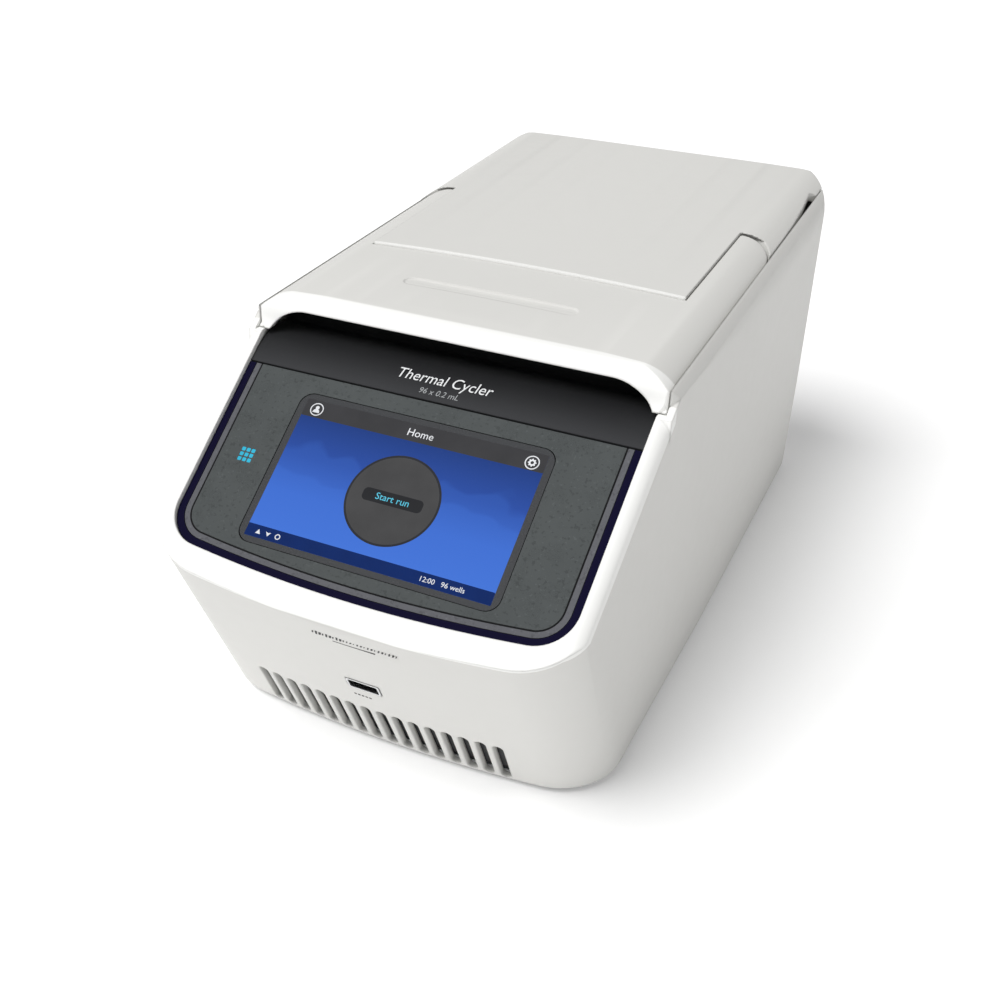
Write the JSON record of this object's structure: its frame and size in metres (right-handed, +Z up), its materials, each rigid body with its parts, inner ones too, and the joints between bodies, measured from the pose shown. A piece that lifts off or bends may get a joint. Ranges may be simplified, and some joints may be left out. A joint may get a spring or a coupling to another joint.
{
  "type": "thermal cycler",
  "caption": "Compact benchtop thermal cycler: white housing with sloped touch panel, hinged heated lid with lifting lever, and a sample block on a finned heat sink with a rear fan.",
  "frame": {"origin": "on the bench, under the centre of the bounding box", "axes": "+Z up, +Y to the rear where the power inlet is, +X to the right of a person facing the touch panel"},
  "size_m": [0.196, 0.3848, 0.1793],
  "materials": {
    "white_shell": "fine-textured off-white moulded plastic",
    "dark_plastic": "dark grey moulded plastic",
    "gasket_navy": "navy gloss trim",
    "panel_grey": "fine-grained grey overlay",
    "display_glass": "glossy lit display",
    "light_guide": "cyan light guide",
    "rubber": "black rubber",
    "steel": "brushed steel",
    "block_aluminium": "machined aluminium",
    "circuit_board": "green solder mask",
    "ceramic": "white ceramic",
    "heater_mat": "orange silicone heater mat"
  },
  "bodies": {
    "housing": {"body_shell": "white_shell", "base_plate": "steel", "foot_front_left": "rubber", "foot_front_right": "rubber", "foot_rear_left": "rubber", "foot_rear_right": "rubber", "vent_filter": "dark_plastic", "front_usb_port": "steel", "rear_panel": "steel", "exhaust_guard": "dark_plastic", "power_inlet": "dark_plastic", "switch_frame": "dark_plastic", "rear_usb_port": "steel", "network_port": "steel", "screen_gasket": "gasket_navy", "control_panel": "panel_grey", "touch_display": "display_glass", "display_board": "circuit_board", "status_light": "light_guide", "visor": "dark_plastic", "deck": "dark_plastic", "block_seal": "rubber", "sample_block": "block_aluminium", "heat_sink": "block_aluminium", "fan_housing": "dark_plastic", "main_board": "circuit_board", "power_supply": "steel", "peltier_module_1": "ceramic", "peltier_module_2": "ceramic", "peltier_module_3": "ceramic", "board_standoff_1": "steel", "board_standoff_2": "steel", "board_standoff_3": "steel", "board_standoff_4": "steel", "hinge_bracket_left": "steel", "hinge_bracket_right": "steel", "hinge_pin_left": "steel", "hinge_pin_right": "steel"},
    "lid": {"lid_shell": "white_shell", "lever_pin_left": "steel", "lever_pin_right": "steel", "lid_liner": "dark_plastic", "lid_frame": "dark_plastic", "pressure_plate": "steel", "platen_spring_1": "steel", "platen_spring_2": "steel", "platen_spring_3": "steel", "platen_spring_4": "steel", "catch_magnet_left": "steel", "catch_magnet_right": "steel"},
    "lever": {"lid_lever": "white_shell"},
    "platen": {"heated_platen": "block_aluminium", "platen_heater": "heater_mat"},
    "fan": {"fan_rotor": "dark_plastic"},
    "rocker": {"power_rocker": "dark_plastic"}
  },
  "joints": [
    {"name": "lid_hinge", "type": "hinge", "parent": "housing", "child": "lid", "pos_m": [0, 0.17, 0.164], "axis": [-1, 0, 0], "range_deg": [0, 75]},
    {"name": "lever_hinge", "type": "hinge", "parent": "lid", "child": "lever", "pos_m": [0, 0.056, 0.1645], "axis": [-1, 0, 0], "range_deg": [0, 15]},
    {"name": "platen_lift", "type": "slide", "parent": "lid", "child": "platen", "axis": [0, 0, 1], "range_m": [0, 0.0036]},
    {"name": "fan_spin", "type": "hinge", "parent": "housing", "child": "fan", "pos_m": [-0.029, 0.1765, 0.066], "axis": [0, 1, 0], "continuous": true},
    {"name": "power_switch", "type": "hinge", "parent": "housing", "child": "rocker", "pos_m": [0.05, 0.188, 0.07], "axis": [1, 0, 0], "range_deg": [0, 14]}
  ],
  "couplings": [
    {"joint": "platen_lift", "follows": "lever_hinge", "m_per_rad": 0.01337}
  ]
}
